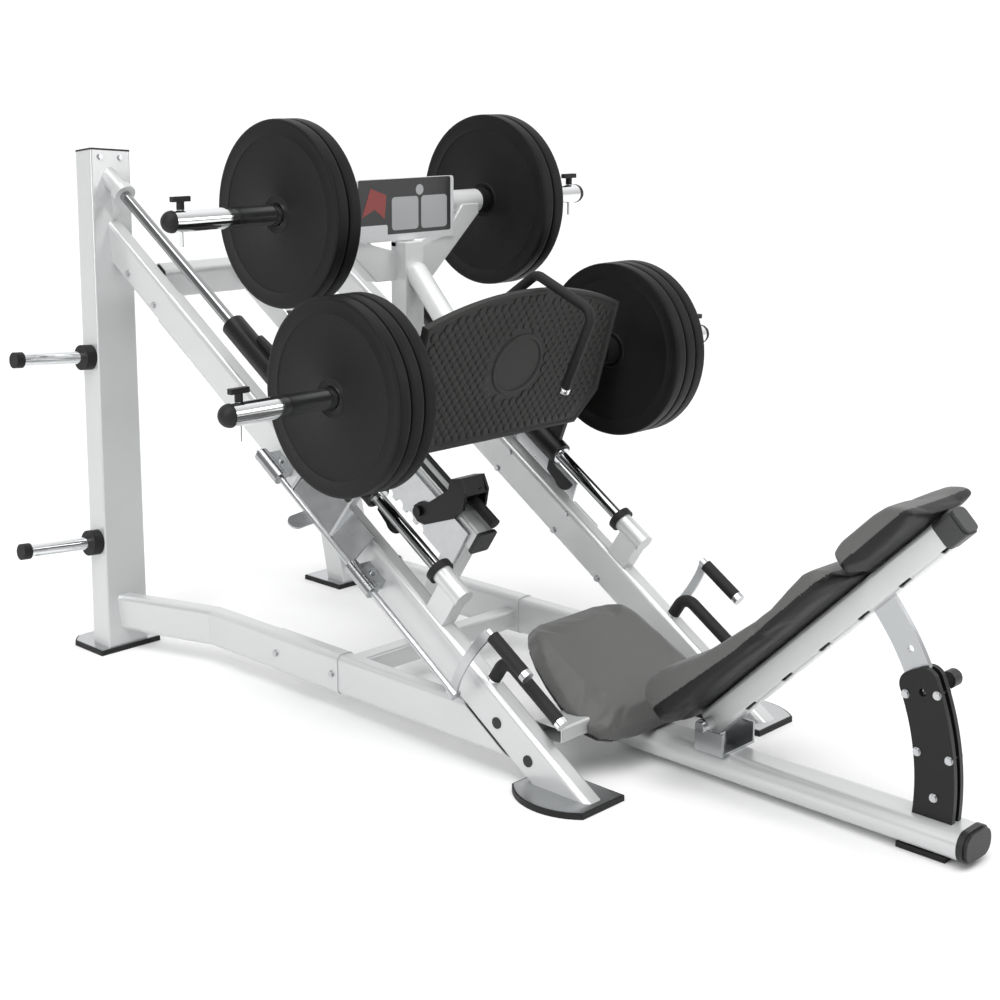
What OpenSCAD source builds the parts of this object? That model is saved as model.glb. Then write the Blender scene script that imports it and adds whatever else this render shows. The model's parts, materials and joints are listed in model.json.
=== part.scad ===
// Plate-loaded linear leg press.
// Millimetres. +X is the seated user's right, +Y points from the seat to the columns, +Z is up.
// The origin is on the floor under the middle of the machine's length.
// Parts that follow the rails are drawn in slide coordinates: x, then s up the slope, then n square to it.

/* [Slide] */
// Slope of the rails and guide rods, in degrees
slide_tilt = 33.3; // [31:0.1:35]
// Distance of both rails and both guide rods from the middle plane
rail_x = 320; // [310:1:330]
// Height of the guide rods above the slide's zero plane
rod_n = 606; // [600:1:612]
// Diameter of a guide rod
rod_d = 30; // [25:1:32]
// Travel of the carriage up the rods from its racked position
carriage_travel = 500; // [300:10:520]

/* [Frame] */
// Width of a rail and of a lower side beam
rail_w = 50; // [45:1:54]
// Depth of a rail, and height of a lower side beam
rail_h = 97; // [90:1:98]
// Wall thickness of the frame tubes
wall = 3; // [2:0.5:4]
// Width of a rear column, across the machine
column_w = 126; // [120:1:130]
// Depth of a rear column, along the machine
column_d = 75; // [70:1:80]
// Height of the rear columns
column_top = 1330; // [1310:1:1350]
// Lean of the columns away from the user, in degrees
column_lean = 7.3; // [7:0.1:7.6]
// Lean of the columns towards the middle plane at the top, in degrees
column_splay = 4.6; // [4.4:0.1:4.8]

/* [Backrest] */
// Angle of the backrest above the floor at rest
back_angle = 44.3; // [43:0.1:46]
// Angle between neighbouring holes of the support arc
arc_step = 9.1; // [8:0.1:10]

/* [Plates] */
// Diameter of a weight plate
plate_d = 450; // [440:1:450]
// Thickness of a weight plate
plate_t = 38; // [30:0.5:38]
// Diameter of a plate horn
horn_d = 50; // [48:0.5:50]

/* [Hidden] */
$fn = 64;

// How far the slide's zero point lies behind the origin
slide_y = 370;
// A large size for cutting tools
big = 4000;
// Radial clearance of a part that slides or turns, and a gap between parts that only meet
run = 0.05;
gap = 0.3;

// Rails, in slide coordinates
rail_n = 473.5;
rail_top_n = rail_n + rail_h / 2;
rail_end_s = 975;
tube_r = 14;
foot_top = 14;
pad_t = 9;

// Columns: middle of the foot, on the floor
column_x = 418;
column_y = 1061;

// Lower side beams
beam_z = 98;
beam_bend_y = 760;
beam_front_y = -200;

// Main beam under the backrest
main_w = 104;
main_h = 62;
main_z = 12;
main_front_y = -1248.2;
main_rear_y = -370;
seat_cross_y = -400;

// Centre beam, in slide coordinates
centre_w = 60;
centre_h = 62;
centre_n = 484;
centre_low_s = -15;
centre_high_s = 1040;

// Carriage at rest, in slide coordinates
housing_low_s = 95;
housing_high_s = 739;
housing_r = 31;
bushing_r = 19;
upper_horn_s = 683;
upper_horn_n = 997;
lower_horn_s = 179;
lower_horn_n = 879;
upper_tip_x = 684;
lower_tip_x = 805;
upper_stack_x = 311.5;
lower_stack_x = 416.5;
upper_count = 2;
lower_count = 3;

// Release levers, in slide coordinates
lever_x = 388;
lever_n = 465;
lever_r = 8;
lever_high_s = 430;
lever_low_s = -388;
stop_arm_s = [117, 282];
stop_arm_t = 8;
lever_grip_x = 380;
lever_grip_n = 656;

// Backrest hinge
hinge_y = -637;
hinge_z = 128;
arc_r = 541;
arc_w = 60;
arc_t = 12;
arc_pin_r = 545;
arc_pin_angle = 21.5;
pin_r = 8;

module mirrored() {
    children();
    mirror([1, 0, 0]) children();
}

module on_slide() translate([0, slide_y, 0]) rotate([slide_tilt, 0, 0]) children();

// Turns an extrusion so that it runs along y
module run_y() rotate([-90, 0, 0]) children();

// Turns an extrusion so that it runs along x
module run_x() rotate([0, 90, 0]) children();

module rounded_rect(w, h, r) {
    square([w - 2 * r, h], center = true);
    square([w, h - 2 * r], center = true);
    for (i = [-1, 1], j = [-1, 1])
        translate([i * (w / 2 - r), j * (h / 2 - r)]) circle(r = r, $fn = 32);
}

module rect_tube(w, h, length, r = tube_r, t = wall) {
    linear_extrude(length) difference() {
        rounded_rect(w, h, r);
        rounded_rect(w - 2 * t, h - 2 * t, r - t);
    }
}

module round_tube(r, bore, length) {
    difference() {
        cylinder(r = r, h = length);
        translate([0, 0, -1]) cylinder(r = bore, h = length + 2);
    }
}

// Quarter-or-so bend of a round bar that starts along z and turns towards y
module bend_of_bar(r, bend, a) {
    translate([0, bend, 0]) rotate([90, 0, -90]) rotate_extrude(angle = a)
        translate([bend, 0]) circle(r = r);
}

// Places children where such a bend ends
module after_bend(bend, a) {
    translate([0, bend - bend * cos(a), bend * sin(a)]) rotate([-a, 0, 0]) children();
}

module below(z) translate([-big / 2, -big / 2, z - big]) cube(big);

// Places children on a column's own axis, with z running up it
module on_column(side) {
    translate([side * column_x, column_y, 0])
        rotate([-column_lean, -side * column_splay, 0]) children();
}

module column_body(side) {
    on_column(side) translate([0, 0, -100]) linear_extrude(column_top * 1.011 + 100)
        rounded_rect(column_w, column_d, 6);
}

module column(side) {
    color("whitesmoke") difference() {
        on_column(side) translate([0, 0, -100])
            rect_tube(column_w, column_d, column_top * 1.011 + 100, 6);
        below(foot_top);
    }
}

module left_column() column(-1);
module right_column() column(1);

module rail(side) {
    color("whitesmoke") difference() {
        on_slide() translate([side * rail_x, -800, rail_n]) run_y()
            rect_tube(rail_w, rail_h, rail_end_s + 800);
        below(foot_top);
    }
}

module left_rail() rail(-1);
module right_rail() rail(1);

// A side beam runs along the floor, then turns outwards to its column; a hairline mitre is at the turn
bend_angle = 18.2;
module side_beam() {
    half = bend_angle / 2;
    seam = 0.1;
    low_y = beam_front_y - 140;
    translate([rail_x, 0, beam_z]) {
        difference() {
            translate([0, low_y, 0]) run_y() rect_tube(rail_w, rail_h, beam_bend_y - low_y + 40);
            translate([0, beam_bend_y, 0]) rotate([0, 0, -half])
                translate([-200, -seam, -100]) cube([400, 400, 200]);
        }
        difference() {
            translate([0, beam_bend_y, 0]) rotate([0, 0, -2 * half]) translate([0, -40, 0])
                run_y() rect_tube(rail_w, rail_h, 350);
            translate([0, beam_bend_y, 0]) rotate([0, 0, -half])
                translate([-200, seam - 400, -100]) cube([400, 400, 200]);
        }
    }
}

module lower_beams() {
    color("whitesmoke") mirrored() difference() {
        side_beam();
        column_body(1);
        on_slide() translate([rail_x, 0, rail_n])
            cube([rail_w + 60, 3000, rail_h], center = true);
        on_slide() translate([0, -1500, rail_n]) cube([500, 3000, 1500]);
    }
}

// Stubs that join each rail to its column, and the bolted sleeves of the side beams
module joint_sleeves() {
    clear = wall + gap;
    color("whitesmoke") mirrored() {
        difference() {
            on_slide() translate([rail_x, rail_end_s - 60, rail_n]) run_y()
                rect_tube(rail_w - 2 * clear, rail_h - 2 * clear, 395, tube_r - clear);
            column_body(1);
        }
        translate([rail_x, 241, beam_z]) run_y()
            difference() {
                linear_extrude(258) rounded_rect(rail_w + 5, rail_h + 5, tube_r + 2.5);
                translate([0, 0, -1]) linear_extrude(260)
                    rounded_rect(rail_w + 2 * gap, rail_h + 2 * gap, tube_r + gap);
            }
    }
}

module rail_foot_shape(grow) {
    intersection() {
        translate([rail_x - 48, -476]) circle(r = 150 + grow, $fn = 96);
        translate([rail_x - 72 - grow, -578 - grow]) square([260, 214 + 2 * grow]);
    }
}

module column_foot_shape(grow) {
    intersection() {
        translate([column_x - 28, 1060]) circle(r = 146 + grow, $fn = 96);
        translate([column_x - 93 - grow, 1012 - grow]) square([186 + 2 * grow, 162 + 2 * grow]);
    }
}

module foot_plates() {
    color("silver") mirrored() {
        translate([0, 0, pad_t]) linear_extrude(foot_top - pad_t) rail_foot_shape(-4);
        translate([0, 0, pad_t]) linear_extrude(foot_top - pad_t) column_foot_shape(-4);
    }
}

// Rubber trays under the feet, and the strips under the main beam
module foot_pads() {
    color("black") mirrored() {
        difference() {
            linear_extrude(foot_top - 1) rail_foot_shape(0);
            translate([0, 0, pad_t]) linear_extrude(20) rail_foot_shape(-4 + gap);
        }
        difference() {
            linear_extrude(foot_top - 1) column_foot_shape(0);
            translate([0, 0, pad_t]) linear_extrude(20) column_foot_shape(-4 + gap);
        }
    }
    color("black") translate([0, main_front_y + 85, main_z / 2])
        cube([main_w - 30, 110, main_z], center = true);
}

// Plastic caps that close the open tube ends
module end_caps() {
    color("dimgray") {
        mirrored() on_column(1) translate([0, 0, column_top * 1.011])
            linear_extrude(5) rounded_rect(column_w + 1, column_d + 1, 6);
        // Main beam's front end
        translate([0, main_front_y, main_z + main_h / 2]) rotate([90, 0, 0]) {
            linear_extrude(14) rounded_rect(main_w + 3, main_h + 3, 31);
            translate([0, 0, 14]) linear_extrude(8) rounded_rect(main_w - 6, main_h - 6, 26);
        }
        // Centre beam's lower end
        on_slide() translate([0, centre_low_s - 10, centre_n]) run_y()
            linear_extrude(10) rounded_rect(centre_w + 3, centre_h + 3, 6);
        // Plugs in the rails' outer sides
        mirrored() on_slide() for (s = [-486, -598])
            translate([rail_x + rail_w / 2, s, rail_n - 6]) run_x() {
                cylinder(r = 13, h = 2, $fn = 48);
            }
    }
}

module rear_cross_beam() {
    color("whitesmoke") translate([-rail_x + rail_w / 2, 0, 0]) on_slide()
        translate([0, 1085, rail_n]) run_x()
            linear_extrude(2 * rail_x - rail_w) difference() {
                rounded_rect(rail_h, rail_w, tube_r);
                rounded_rect(rail_h - 2 * wall, rail_w - 2 * wall, tube_r - wall);
            }
}

// Low beam under the backrest, welded to the cross tube under the seat
module main_beam() {
    inner_x = rail_x - rail_w / 2;
    color("whitesmoke") {
        translate([0, main_front_y, main_z + main_h / 2]) run_y()
            rect_tube(main_w, main_h, main_rear_y - main_front_y, 29);
        difference() {
            translate([-inner_x, seat_cross_y, 118]) run_x()
                linear_extrude(2 * inner_x) difference() {
                    rounded_rect(36, 80, 8);
                    rounded_rect(30, 74, 5);
                }
            below(main_z + main_h);
        }
        // Risers that lift the cross tube off the beam
        translate([0, seat_cross_y, main_z + main_h + 13])
            cube([main_w - 40, 60, 26], center = true);
    }
}

// Centre beam between the rails, its post and the lower cross tube
module centre_beam() {
    inner_x = rail_x - rail_w / 2 - 2.5 - gap;
    cross_y = 277;
    cross_z = 88;
    color("whitesmoke") {
        on_slide() translate([0, centre_low_s, centre_n]) run_y()
            rect_tube(centre_w, centre_h, centre_high_s - centre_low_s, 8);
        difference() {
            on_slide() translate([0, 30, 60]) linear_extrude(centre_n - centre_h / 2 - 60)
                rounded_rect(50, 60, 8);
            below(cross_z + 24);
        }
        translate([-inner_x, cross_y, cross_z]) run_x()
            linear_extrude(2 * inner_x) difference() {
                rounded_rect(50, 50, 8);
                rounded_rect(44, 44, 5);
            }
    }
}

// Black low-friction strips on the centre beam's top
module wear_strips() {
    color("black") on_slide() for (x = [-19, 19])
        translate([x, 100 + 380, centre_n + centre_h / 2 + 2]) cube([14, 760, 4], center = true);
}

// Plate with round notches that sets where the carriage stops
notch_pitch = 45;
notch_count = 10;
module rack_plate() {
    color("silver") on_slide() translate([-centre_w / 2 - 8, 0, 0]) rotate([90, 0, 90])
        linear_extrude(8) difference() {
            translate([5, centre_n - 100]) square([640, 112]);
            for (k = [0 : notch_count])
                translate([140 + k * notch_pitch, centre_n - 100]) circle(r = 15);
        }
}

module guide_rods() {
    color("gainsboro") mirrored() on_slide() translate([rail_x, -232, rod_n]) run_y()
        cylinder(d = rod_d, h = 1330 + 232, $fn = 96);
}

module rod_top_mounts() {
    color("whitesmoke") mirrored() difference() {
        on_slide() translate([rail_x, 1292, rod_n]) {
            run_y() cylinder(r = 23, h = 160);
            run_y() cylinder(r = 31, h = 22);
            translate([-4, 6, -85]) cube([8, 60, 70]);
        }
        column_body(1);
        on_slide() translate([rail_x, 1200, rod_n]) run_y() cylinder(d = rod_d + 2 * run, h = 131);
        on_slide() translate([rail_x, 1200, rail_n]) cube([80, 400, rail_h - 2], center = true);
    }
}

module rod_bottom_mounts() {
    color("silver") mirrored() on_slide() translate([rail_x, 0, 0]) difference() {
        union() {
            translate([0, -245, rod_n]) run_y() cylinder(r = 24, h = 85);
            translate([-21, -240, rail_top_n]) cube([42, 62, rod_n - rail_top_n]);
        }
        translate([0, -233, rod_n]) run_y() cylinder(d = rod_d + 2 * run, h = 85);
    }
}

module rod_bumpers() {
    color("black") mirrored() on_slide() translate([rail_x, -160, rod_n]) run_y()
        round_tube(32, rod_d / 2 + run, 16);
}

// Bearings of the lever shafts on the rails' outer sides
module lever_collars() {
    color("silver") mirrored() on_slide() for (s = [-62, 330])
        translate([lever_x, s, lever_n]) difference() {
            union() {
                run_y() cylinder(r = 18, h = 90);
                translate([rail_x + rail_w / 2 - lever_x, 12, -14]) cube([34, 66, 28]);
            }
            translate([0, -1, 0]) run_y() cylinder(r = lever_r + run, h = 92);
        }
}

// A handle that rises from the rail and bends to run down beside it
module handle_run(r, rise_from, tail) {
    bend = 32;
    rise = 590 - bend - rise_from;
    translate([0, 0, rise_from]) mirror([0, 1, 0]) {
        cylinder(r = r, h = rise);
        translate([0, 0, rise]) bend_of_bar(r, bend, 90);
        translate([0, 0, rise]) after_bend(bend, 90) cylinder(r = r, h = tail);
    }
}

module fixed_handles() {
    color("gainsboro") mirrored() on_slide() translate([rail_x, -412, 0]) {
        handle_run(11, rail_top_n, 168);
        translate([0, 0, rail_top_n]) cylinder(r = 17, h = 7);
        translate([0, -32 - 168, 590]) run_y() cylinder(r = 15, h = 13);
    }
}

module handle_grips() {
    color("black") mirrored() on_slide() translate([rail_x, -412, 0]) difference() {
        handle_run(15, rail_top_n + 7, 155);
        handle_run(11 + run, rail_top_n, 168);
    }
}

// Pegs on the columns' outer faces for plates that aren't in use
storage_up = [287, 787];
storage_len = 222;
module on_storage(k) {
    on_column(1) translate([column_w / 2, 0, storage_up[k]]) run_x() children();
}

module storage_horns() {
    color("gainsboro") mirrored() for (k = [0, 1]) on_storage(k) cylinder(r = 17, h = storage_len);
}

module storage_rubbers() {
    color("black") mirrored() for (k = [0, 1]) on_storage(k) {
        translate([0, 0, 0]) round_tube(34, 17 + run, 30);
        translate([0, 0, storage_len]) cylinder(r = 21, h = 10);
        translate([0, 0, storage_len - 14]) round_tube(21, 17 + run, 14);
    }
}

// Seat, in a frame that starts at its rear edge and rises towards the user's knees
seat_tilt = 29;
seat_y = -459;
seat_z = 76.6;
module on_seat() translate([0, seat_y, seat_z]) rotate([seat_tilt, 0, 0]) children();

module seat_outline(grow) {
    half = [[0, 335], [95, 335], [135, 322], [162, 293], [186, 245], [206, 185], [221, 115], [226, 72],
        [220, 30], [200, 0], [160, -20], [100, -30], [0, -32]];
    offset(delta = grow) polygon(concat(half, [for (k = [len(half) - 2 : -1 : 1]) [-half[k][0], half[k][1]]]));
}

// Room for the cross tube under the seat and for its riser
module seat_cross_room() {
    translate([-300, seat_cross_y - 40 - gap, 100 - gap]) cube([600, 80 + 2 * gap, 36 + 2 * gap]);
    translate([-32 - gap, seat_cross_y - 30 - gap, main_z + main_h]) cube([64 + 2 * gap, 60 + 2 * gap, 30]);
}

module seat_pan() {
    color("dimgray") {
        difference() {
            on_seat() linear_extrude(12 - gap) seat_outline(-14);
            below(main_z + main_h);
            seat_cross_room();
        }
        difference() {
            on_seat() translate([0, 150, -120]) linear_extrude(120) rounded_rect(60, 120, 8);
            below(136);
        }
    }
}

module seat_pad() {
    color("dimgray") difference() {
        on_seat() intersection() {
            translate([0, 0, 12]) linear_extrude(52) seat_outline(0);
            // Bevels along both sides, the front and the rear
            translate([0, 400, 0]) rotate([90, 0, 0]) linear_extrude(500)
                polygon([[-240, 0], [240, 0], [240, 28], [172, 64], [-172, 64], [-240, 28]]);
            translate([-300, 0, 0]) rotate([90, 0, 90]) linear_extrude(600)
                polygon([[-60, 0], [340, 0], [340, 38], [296, 64], [10, 64], [-60, 28]]);
        }
        translate([-62, -1000, 0]) cube([124, 700, main_z + main_h + 1]);
        seat_cross_room();
    }
}

module hinge_bracket() {
    color("silver") difference() {
        union() {
            translate([0, hinge_y - 20, main_z + main_h + 3]) cube([120, 74, 6], center = true);
            for (x = [-57, 57]) {
                translate([x - 3, hinge_y - 57, main_z + main_h]) cube([6, 74, 50]);
                translate([x - 3, hinge_y, hinge_z]) run_x() cylinder(r = 17, h = 6);
                translate([x - 3, hinge_y - 17, main_z + main_h]) cube([6, 34, hinge_z - main_z - main_h]);
            }
        }
        translate([-100, hinge_y, hinge_z]) run_x() cylinder(r = 7 + run, h = 200);
    }
}

module hinge_pin() {
    color("gainsboro") translate([0, hinge_y, hinge_z]) run_x() {
        translate([0, 0, -60]) cylinder(r = 7, h = 120);
        translate([0, 0, -67]) cylinder(r = 12, h = 7);
        translate([0, 0, 60]) cylinder(r = 12, h = 7);
    }
}

// Places children with x down the arc's radius at the given angle above the floor
module on_arc(angle) translate([0, hinge_y, hinge_z]) rotate([-angle, 0, 0]) children();

guide_in = arc_r - arc_w / 2 - 14;
guide_out = arc_r + arc_w / 2 + 14;
module arc_guide_plates() {
    corner = 30;
    top_angle = 26.5;
    inner = guide_in + corner - 0.7;
    outer = guide_out - corner - 0.3;
    color("black") difference() {
        for (x = [-arc_t / 2 - gap - 12, arc_t / 2 + gap])
            translate([x, hinge_y, hinge_z]) rotate([0, 90, 0]) rotate([0, 0, -90 - top_angle])
                rotate_extrude(angle = top_angle + 9, $fn = 180)
                    translate([guide_in, 0]) square([guide_out - guide_in, 12]);
        // Rounded top
        on_arc(top_angle) for (edge = [[inner, -inner], [outer, -outer - 60]])
            difference() {
                translate([-100, edge[1], -corner - 0.3]) cube([200, 60, 60]);
                translate([-110, -edge[0], -corner - 0.3]) run_x() cylinder(r = corner, h = 220);
            }
        below(main_z + main_h);
        on_arc(arc_pin_angle) translate([-100, -arc_pin_r, 0]) run_x()
            cylinder(r = pin_r + run, h = 200);
    }
}

module bolt(length) {
    cylinder(r = 4, h = length, $fn = 24);
    translate([0, 0, length]) cylinder(r = 9, h = 1.6, $fn = 32);
    translate([0, 0, length + 1.6]) cylinder(r = 7, h = 4, $fn = 32);
}

module frame_bolts() {
    side = rail_x + rail_w / 2;
    color("silver") mirrored() {
        // Rail stubs and side-beam sleeves
        on_slide() for (s = [1014, 1150])
            translate([side - wall - gap - 6, s, rail_n - 20]) run_x() bolt(6);
        for (y = [262, 476])
            translate([side + 2.5 - 10, y, beam_z]) run_x() bolt(10);
        // Inner side of the rails, where the rod brackets are held
        on_slide() for (s = [-21, 220])
            translate([rail_x - rail_w / 2 + 8, s, rail_n + 34]) rotate([0, -90, 0]) bolt(8);
        on_slide() for (s = [-194, -13, 230])
            translate([rail_x - rail_w / 2 + 8, s, rail_n - 34]) rotate([0, -90, 0]) bolt(8);
        // Column caps
        on_column(1) for (x = [-30, 34])
            translate([x, -column_d / 2 + 8, column_top * 1.011 - 18]) rotate([90, 0, 0]) bolt(8);
        // Lever collars
        on_slide() for (s = [-17, 375]) for (v = [-1, 1])
            translate([side + 16, s, lever_n + v * 6]) scale([1, 1, v]) bolt(8);
    }
    // Arc guide plates
    for (a = [[guide_in + 9, 21.8], [guide_out - 9, 20.5], [guide_in + 9, 8.6], [guide_out - 9, 7.6], [arc_r, -1]])
        on_arc(a[1]) translate([0, -a[0], 0]) mirrored() run_x() bolt(arc_t / 2 + gap + 12);
}

// Places children in the backrest's own frame: y up the backrest, z out of its front
module on_back() {
    translate([0, hinge_y, hinge_z]) rotate([0, 0, 180]) rotate([back_angle, 0, 0]) children();
}

back_tube_w = 50;
back_tube_h = 60;
module backrest_tube() {
    color("whitesmoke") difference() {
        union() {
            on_back() translate([0, -10, 2]) run_y()
                rect_tube(back_tube_w, back_tube_h, 755, 10);
            translate([-53, hinge_y, hinge_z]) run_x() cylinder(r = 15, h = 106);
        }
        translate([-100, hinge_y, hinge_z]) run_x() cylinder(r = 7 + run, h = 200);
        // Slots along both lower edges
        on_back() for (k = [0 : 5], side = [-1, 1])
            translate([side * (back_tube_w / 2 - 8), 120 + k * 125, 2 - back_tube_h / 2])
                cube([14, 34, 14], center = true);
        // Slot that the support arc passes into
        translate([-arc_t / 2 - gap, hinge_y, hinge_z]) rotate([0, 90, 0]) rotate([0, 0, -90 - 50])
            rotate_extrude(angle = 12, $fn = 180)
                translate([arc_r - arc_w / 2 - gap, 0]) square([arc_w + 2 * gap, arc_t + 2 * gap]);
    }
}

module backrest_cap() {
    color("dimgray") on_back() translate([0, 746, 1.5]) run_y() {
        linear_extrude(48) rounded_rect(back_tube_w + 5, back_tube_h + 1, 14);
        linear_extrude(56) rounded_rect(back_tube_w - 3, back_tube_h - 7, 12);
    }
}

// Pad with a side profile, given as points up the backrest and out from it, and a rounded outline
module pad(w, profile, low_r, high_r) {
    low = profile[0][0];
    high = profile[len(profile) - 1][0];
    half = w / 2;
    on_back() intersection() {
        translate([-half, 0, 0]) rotate([90, 0, 90]) linear_extrude(w)
            polygon(concat([[high, 32.5], [low, 32.5]], profile));
        translate([0, high, 0]) run_y() mirror([0, 0, 1]) linear_extrude(high - low)
            polygon([[-30, -32.5], [30, -32.5], [half, -48], [half, -64], [half - 45, -190],
                [45 - half, -190], [-half, -64], [-half, -48]]);
        union() {
            translate([0, low + 200, 0]) linear_extrude(200) rounded_rect(w, 400, low_r);
            translate([0, high - 120, 0]) linear_extrude(200) rounded_rect(w, 240, high_r);
        }
    }
}

module back_pad() {
    color("dimgray") pad(306, [[-45, 92], [-32, 124], [-2, 143], [40, 139], [90, 123], [170, 103],
        [240, 94], [320, 85], [390, 81], [450, 87], [505, 92], [542, 84], [560, 62]], 60, 50);
}

module head_pad() {
    color("dimgray") pad(262, [[566, 66], [580, 88], [612, 97], [705, 96], [748, 90], [776, 72], [786, 46]],
        45, 105);
}

module support_arc() {
    color("silver") difference() {
        translate([-arc_t / 2, hinge_y, hinge_z]) rotate([0, 90, 0]) rotate([0, 0, -90 - 45])
            rotate_extrude(angle = 40, $fn = 180)
                translate([arc_r - arc_w / 2, 0]) square([arc_w, arc_t]);
        for (k = [-1 : 2]) on_arc(arc_pin_angle - k * arc_step)
            translate([-20, -arc_pin_r, 0]) run_x() cylinder(r = pin_r + run, h = 40);
    }
}

// Pull pin, drawn withdrawn from the arc
pin_out = 14;
module pull_pin() {
    color("gainsboro") on_arc(arc_pin_angle) translate([arc_t / 2 + 2, -arc_pin_r, 0]) run_x()
        cylinder(r = pin_r, h = 72);
}

module pull_knob() {
    color("black") on_arc(arc_pin_angle) translate([arc_t / 2 + 74, -arc_pin_r, 0]) run_x() {
        cylinder(r = 18, h = 28);
        translate([0, 0, 28]) cylinder(r = 15, h = 5);
    }
}

// Release lever: shaft, two stop arms, guard plate, tab, curved bar and handle core
module lever(side) {
    bar_rise = lever_grip_n - lever_n;
    sagitta = 25;
    bar_r = (bar_rise * bar_rise / 4 + sagitta * sagitta) / (2 * sagitta);
    bar_half = asin(bar_rise / 2 / bar_r);
    scale([side, 1, 1]) on_slide() {
        translate([lever_x, lever_low_s, lever_n]) run_y()
            cylinder(r = lever_r, h = lever_high_s - lever_low_s);
        for (s = stop_arm_s) translate([lever_x - 9, s, lever_n]) rotate([0, -8, 0])
            translate([-11, 0, 0]) cube([22, stop_arm_t, 132]);
        translate([lever_x, 29, lever_n]) rotate([0, -18, 0])
            translate([-4, 0, 4]) cube([5, 251, 88]);
        translate([lever_x, 196, lever_n]) rotate([0, 100, 0]) {
            translate([-3, -20, 0]) cube([6, 40, 45]);
            translate([-3, 0, 45]) run_x() cylinder(r = 20, h = 6);
        }
        translate([lever_x, lever_low_s, lever_n]) run_y() cylinder(r = 13, h = 22);
        // Curved flat bar up to the handle
        translate([lever_x - 4 + sagitta - bar_r, lever_low_s, (lever_n + lever_grip_n) / 2])
            run_y() rotate([0, 0, -bar_half]) rotate_extrude(angle = 2 * bar_half, $fn = 180)
                translate([bar_r - 3, 0]) square([6, 22]);
        translate([lever_grip_x, lever_low_s - 124, lever_grip_n]) run_y() {
            cylinder(r = 10, h = 140);
            cylinder(r = 15, h = 14);
        }
    }
}

module lever_grip(side) {
    color("black") scale([side, 1, 1]) on_slide()
        translate([lever_grip_x, lever_low_s - 110, lever_grip_n]) run_y()
            round_tube(15, 10 + run, 110);
}

module left_lever() color("silver") lever(-1);
module right_lever() color("silver") lever(1);
module left_lever_grip() lever_grip(-1);
module right_lever_grip() lever_grip(1);

// Black side frames, cross tubes and the lower horns' axle tube
module carriage_frame() {
    color([0.12, 0.12, 0.12]) on_slide() {
        // A cheek on each bearing housing, with its hook and the lugs that rest on the release levers
        mirrored() difference() {
            union() {
                translate([rail_x - 6, 0, 0]) rotate([90, 0, 90]) linear_extrude(12)
                    polygon([[110, rod_n], [640, rod_n], [640, 652], [560, 660], [226, 905],
                        [168, 905], [128, 700]]);
                translate([rail_x - 25, 0, 0]) rotate([90, 0, 90]) linear_extrude(5) {
                    polygon([[30, 549], [95, 560], [110, 606], [100, 612], [36, 612]]);
                    translate([38, 580]) circle(r = 32);
                }
                for (s = stop_arm_s)
                    translate([rail_x + 20, s + stop_arm_t + gap, rod_n - 31]) cube([40, 18, 24]);
            }
            translate([rail_x, 0, rod_n]) run_y() cylinder(r = housing_r, h = 1000);
            translate([rail_x - 50, lower_horn_s, lower_horn_n]) run_x() cylinder(r = 32 + gap, h = 100);
        }
        // Cross tube that the lower horns are let into
        difference() {
            translate([-372, lower_horn_s, lower_horn_n]) run_x() cylinder(r = 32, h = 744);
            translate([-400, lower_horn_s, lower_horn_n]) run_x() cylinder(d = horn_d - 10, h = 800);
            mirrored() translate([340, lower_horn_s, lower_horn_n]) run_x()
                cylinder(d = horn_d + 0.1, h = 100);
        }
    }
}

module bearing_housings() {
    color([0.12, 0.12, 0.12]) mirrored() on_slide() translate([rail_x, housing_low_s, rod_n]) run_y()
        round_tube(housing_r, bushing_r, housing_high_s - housing_low_s);
}

// Linear bushings at both ends of each housing, with flanges outside it
module linear_bushings() {
    length = housing_high_s - housing_low_s;
    color("gainsboro") mirrored() on_slide() translate([rail_x, housing_low_s, rod_n]) run_y() difference() {
        union() {
            cylinder(r = bushing_r, h = 70);
            translate([0, 0, -5]) cylinder(r = 24, h = 5);
            translate([0, 0, length - 70]) cylinder(r = bushing_r, h = 70);
            translate([0, 0, length]) cylinder(r = 24, h = 5);
        }
        translate([0, 0, -10]) cylinder(r = rod_d / 2 + run, h = length + 20, $fn = 96);
    }
}

// White mast: post, upper cross tube and its braces
module mast() {
    color("whitesmoke") on_slide() {
        difference() {
            union() {
                translate([-285, upper_horn_s, upper_horn_n]) run_x() cylinder(r = 31, h = 570);
                translate([0, upper_horn_s - 10, 890]) linear_extrude(upper_horn_n - 890)
                    rounded_rect(66, 50, 8);
                mirrored() translate([140, upper_horn_s - 20, upper_horn_n - 6])
                    rotate([0, 180 + 38, 0]) translate([-22, 0, 0]) cube([44, 36, 225]);
                translate([0, 165, 905]) run_y() cylinder(r = 26, h = 510);
                // Bracket of the hand bar
                translate([0, 296, 890]) cube([54, 34, 30]);
            }
            translate([-300, upper_horn_s, upper_horn_n]) run_x() cylinder(d = horn_d - 10, h = 600);
            mirrored() translate([100, upper_horn_s, upper_horn_n]) run_x()
                cylinder(d = horn_d + 0.1, h = 200);
            translate([-400, lower_horn_s, lower_horn_n]) run_x() cylinder(r = 32, h = 800);
        }
    }
}

// Foot plate, in a frame that starts at its lower edge
plate_tilt = 16.5;
module on_foot_plate() on_slide() translate([0, 78, 745]) rotate([-plate_tilt, 0, 0]) children();

module foot_shape(grow) {
    intersection() {
        polygon([[-270, -grow], [270, -grow], [332 + grow, 80], [332 + grow, 420], [-332 - grow, 420],
            [-332 - grow, 80]]);
        translate([0, -540]) circle(r = 925 + grow, $fn = 180);
        translate([0, 180]) rounded_rect(664 + 2 * grow, 470, 60);
    }
}

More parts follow.
